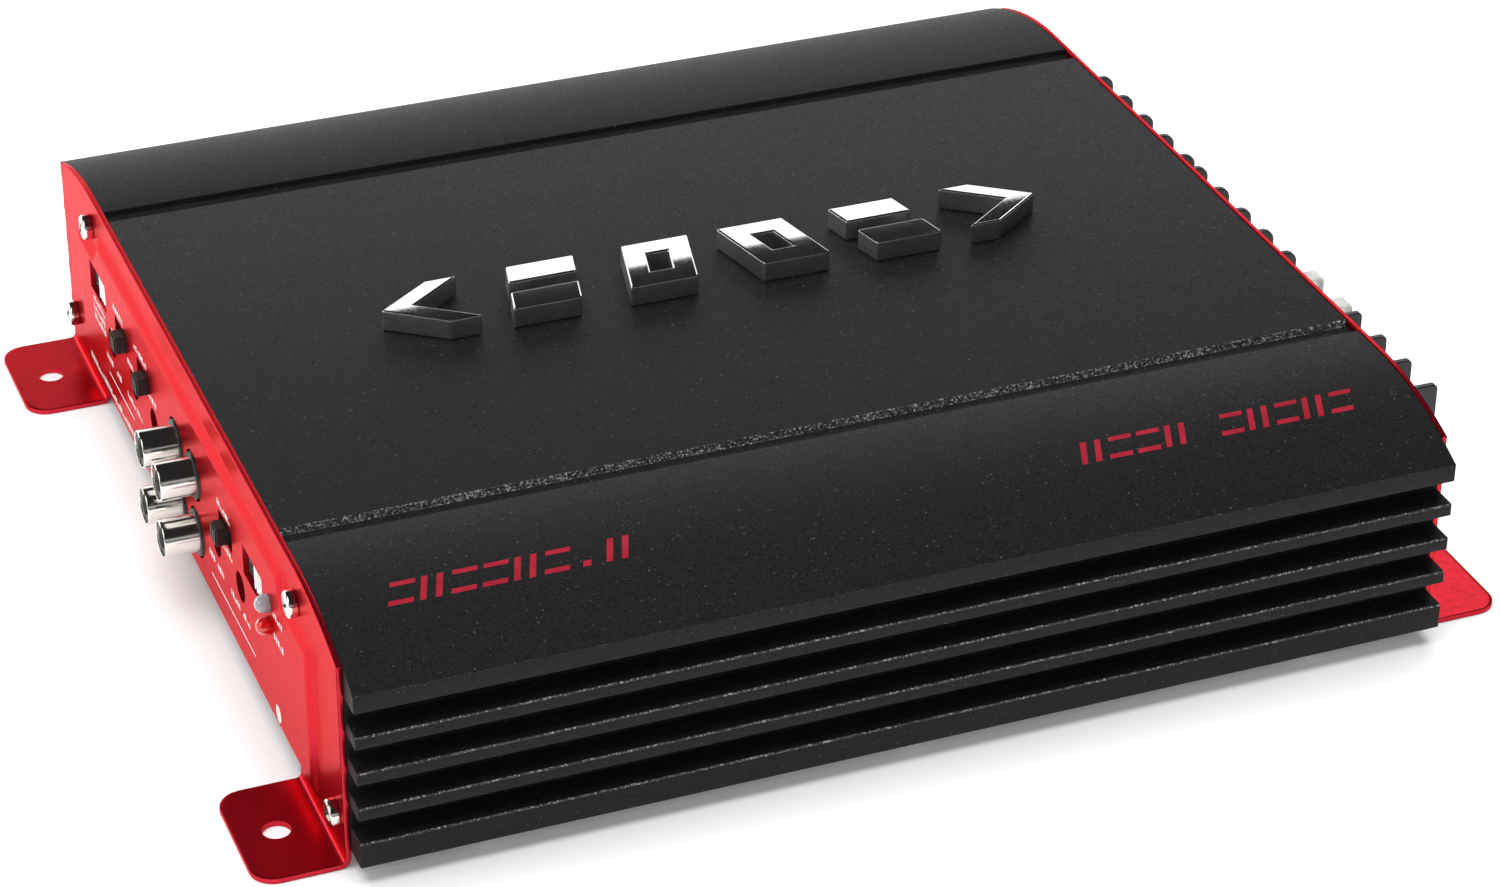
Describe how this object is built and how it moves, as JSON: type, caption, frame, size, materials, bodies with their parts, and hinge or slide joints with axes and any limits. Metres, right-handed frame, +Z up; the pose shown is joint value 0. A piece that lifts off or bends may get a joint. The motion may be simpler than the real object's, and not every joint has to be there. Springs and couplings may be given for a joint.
{
  "type": "car amplifier",
  "caption": "Finned car audio amplifier: rounded black extrusion, embossed red end plates with mounting tabs, signal controls at one end and terminals with fuses at the other.",
  "frame": {"origin": "on the mounting surface, below the middle of the housing", "axes": "+X along the extrusion from the signal end to the power end, +Z up, front fins towards -Y"},
  "size_m": [0.2734, 0.232, 0.0574],
  "materials": {
    "powder_coat": "fine-textured charcoal powder coat with a sparkle",
    "black_steel": "satin black paint",
    "red_plate": "glossy metallic red",
    "nickel": "bright nickel plate",
    "badge_chrome": "polished chrome",
    "black_plastic": "satin black",
    "phono_insulator": "dark moulded insulator",
    "gold_contact": "gold-coloured plate",
    "switch_steel": "bright tinned steel",
    "trimmer_blue": "moulded blue",
    "trimmer_face": "moulded dark grey",
    "white_plastic": "moulded white",
    "clear_lamp": "clear moulded lens",
    "red_lamp": "tinted red lens",
    "board_green": "green solder mask",
    "ferrite": "dark sintered ferrite",
    "copper_wire": "enamelled copper",
    "capacitor_sleeve": "dark sleeve over an aluminium can",
    "pad_grey": "grey silicone",
    "clamp_aluminium": "plain mill finish",
    "fuse_plastic": "natural, half clear"
  },
  "bodies": {
    "housing": {"back_transistors": "black_plastic", "badge": "badge_chrome", "board_standoffs": "nickel", "bottom_cover": "black_steel", "bottom_cover_screws": "nickel", "clamp_bars": "clamp_aluminium", "clamp_screws": "nickel", "control_board": "board_green", "fault_lamp": "red_lamp", "filter_switch_frames": "switch_steel", "front_transistors": "black_plastic", "fuse_holder": "black_plastic", "heatsink": "powder_coat", "main_board": "board_green", "mode_switch_frames": "switch_steel", "output_chokes": "ferrite", "phono_contacts": "gold_contact", "phono_housing": "black_plastic", "phono_insulators": "phono_insulator", "phono_shell_1": "nickel", "phono_shell_2": "nickel", "phono_shell_3": "nickel", "phono_shell_4": "nickel", "power_block": "black_plastic", "power_end_plate": "red_plate", "power_lamp": "clear_lamp", "power_plate_screws": "nickel", "ring_core": "ferrite", "ring_winding": "copper_wire", "signal_end_plate": "red_plate", "signal_plate_screws": "nickel", "speaker_block_1": "black_plastic", "speaker_block_2": "black_plastic", "supply_capacitors": "capacitor_sleeve", "terminal_plates": "nickel", "thermal_pads": "pad_grey", "trimmer_bodies": "trimmer_blue"},
    "filter_lever_1": {"filter_lever_1": "black_plastic"},
    "filter_lever_2": {"filter_lever_2": "black_plastic"},
    "filter_lever_3": {"filter_lever_3": "black_plastic"},
    "fuse_1": {"fuse_1": "fuse_plastic"},
    "fuse_2": {"fuse_2": "fuse_plastic"},
    "mode_lever_1": {"mode_lever_1": "white_plastic"},
    "mode_lever_2": {"mode_lever_2": "white_plastic"},
    "power_screw_1": {"power_screw_1": "nickel"},
    "power_screw_2": {"power_screw_2": "nickel"},
    "power_screw_3": {"power_screw_3": "nickel"},
    "speaker_screw_1": {"speaker_screw_1": "nickel"},
    "speaker_screw_2": {"speaker_screw_2": "nickel"},
    "speaker_screw_3": {"speaker_screw_3": "nickel"},
    "speaker_screw_4": {"speaker_screw_4": "nickel"},
    "speaker_screw_5": {"speaker_screw_5": "nickel"},
    "speaker_screw_6": {"speaker_screw_6": "nickel"},
    "speaker_screw_7": {"speaker_screw_7": "nickel"},
    "speaker_screw_8": {"speaker_screw_8": "nickel"},
    "trimmer_rotor_1": {"trimmer_rotor_1": "trimmer_face"},
    "trimmer_rotor_2": {"trimmer_rotor_2": "trimmer_face"},
    "trimmer_rotor_3": {"trimmer_rotor_3": "trimmer_face"},
    "trimmer_rotor_4": {"trimmer_rotor_4": "trimmer_face"},
    "trimmer_rotor_5": {"trimmer_rotor_5": "trimmer_face"}
  },
  "joints": [
    {"name": "filter_lever_1_slide", "type": "slide", "parent": "housing", "child": "filter_lever_1", "axis": [0, 1, 0], "range_m": [0, 0.0052]},
    {"name": "filter_lever_2_slide", "type": "slide", "parent": "housing", "child": "filter_lever_2", "axis": [0, 1, 0], "range_m": [0, 0.0052]},
    {"name": "filter_lever_3_slide", "type": "slide", "parent": "housing", "child": "filter_lever_3", "axis": [0, 1, 0], "range_m": [-0.0026, 0.0026]},
    {"name": "mode_lever_1_slide", "type": "slide", "parent": "housing", "child": "mode_lever_1", "axis": [0, 1, 0], "range_m": [0, 0.0064]},
    {"name": "mode_lever_2_slide", "type": "slide", "parent": "housing", "child": "mode_lever_2", "axis": [0, 1, 0], "range_m": [0, 0.0064]},
    {"name": "trimmer_rotor_1_turn", "type": "hinge", "parent": "housing", "child": "trimmer_rotor_1", "pos_m": [-0.118, 0.0629, 0.0248], "axis": [1, 0, 0], "range_deg": [-150, 150]},
    {"name": "trimmer_rotor_2_turn", "type": "hinge", "parent": "housing", "child": "trimmer_rotor_2", "pos_m": [-0.118, 0.0429, 0.0248], "axis": [1, 0, 0], "range_deg": [-150, 150]},
    {"name": "trimmer_rotor_3_turn", "type": "hinge", "parent": "housing", "child": "trimmer_rotor_3", "pos_m": [-0.118, 0.0257, 0.0248], "axis": [1, 0, 0], "range_deg": [-150, 150]},
    {"name": "trimmer_rotor_4_turn", "type": "hinge", "parent": "housing", "child": "trimmer_rotor_4", "pos_m": [-0.118, -0.025, 0.0248], "axis": [1, 0, 0], "range_deg": [-150, 150]},
    {"name": "trimmer_rotor_5_turn", "type": "hinge", "parent": "housing", "child": "trimmer_rotor_5", "pos_m": [-0.118, -0.0432, 0.0248], "axis": [1, 0, 0], "range_deg": [-150, 150]},
    {"name": "fuse_1_slide", "type": "slide", "parent": "housing", "child": "fuse_1", "axis": [1, 0, 0], "range_m": [0, 0.02]},
    {"name": "fuse_2_slide", "type": "slide", "parent": "housing", "child": "fuse_2", "axis": [1, 0, 0], "range_m": [0, 0.02]},
    {"name": "speaker_screw_1_turn", "type": "hinge", "parent": "housing", "child": "speaker_screw_1", "pos_m": [0.122, 0.03335, 0.03305], "axis": [1, 0, 0], "range_deg": [0, 720]},
    {"name": "speaker_screw_2_turn", "type": "hinge", "parent": "housing", "child": "speaker_screw_2", "pos_m": [0.122, 0.04425, 0.03305], "axis": [1, 0, 0], "range_deg": [0, 720]},
    {"name": "speaker_screw_3_turn", "type": "hinge", "parent": "housing", "child": "speaker_screw_3", "pos_m": [0.122, 0.05515, 0.03305], "axis": [1, 0, 0], "range_deg": [0, 720]},
    {"name": "speaker_screw_4_turn", "type": "hinge", "parent": "housing", "child": "speaker_screw_4", "pos_m": [0.122, 0.06605, 0.03305], "axis": [1, 0, 0], "range_deg": [0, 720]},
    {"name": "speaker_screw_5_turn", "type": "hinge", "parent": "housing", "child": "speaker_screw_5", "pos_m": [0.122, -0.0169, 0.03305], "axis": [1, 0, 0], "range_deg": [0, 720]},
    {"name": "speaker_screw_6_turn", "type": "hinge", "parent": "housing", "child": "speaker_screw_6", "pos_m": [0.122, -0.006, 0.03305], "axis": [1, 0, 0], "range_deg": [0, 720]},
    {"name": "speaker_screw_7_turn", "type": "hinge", "parent": "housing", "child": "speaker_screw_7", "pos_m": [0.122, 0.0049, 0.03305], "axis": [1, 0, 0], "range_deg": [0, 720]},
    {"name": "speaker_screw_8_turn", "type": "hinge", "parent": "housing", "child": "speaker_screw_8", "pos_m": [0.122, 0.0158, 0.03305], "axis": [1, 0, 0], "range_deg": [0, 720]},
    {"name": "power_screw_1_turn", "type": "hinge", "parent": "housing", "child": "power_screw_1", "pos_m": [0.122, -0.0797, 0.03305], "axis": [1, 0, 0], "range_deg": [0, 720]},
    {"name": "power_screw_2_turn", "type": "hinge", "parent": "housing", "child": "power_screw_2", "pos_m": [0.122, -0.0687, 0.03305], "axis": [1, 0, 0], "range_deg": [0, 720]},
    {"name": "power_screw_3_turn", "type": "hinge", "parent": "housing", "child": "power_screw_3", "pos_m": [0.122, -0.0577, 0.03305], "axis": [1, 0, 0], "range_deg": [0, 720]}
  ]
}
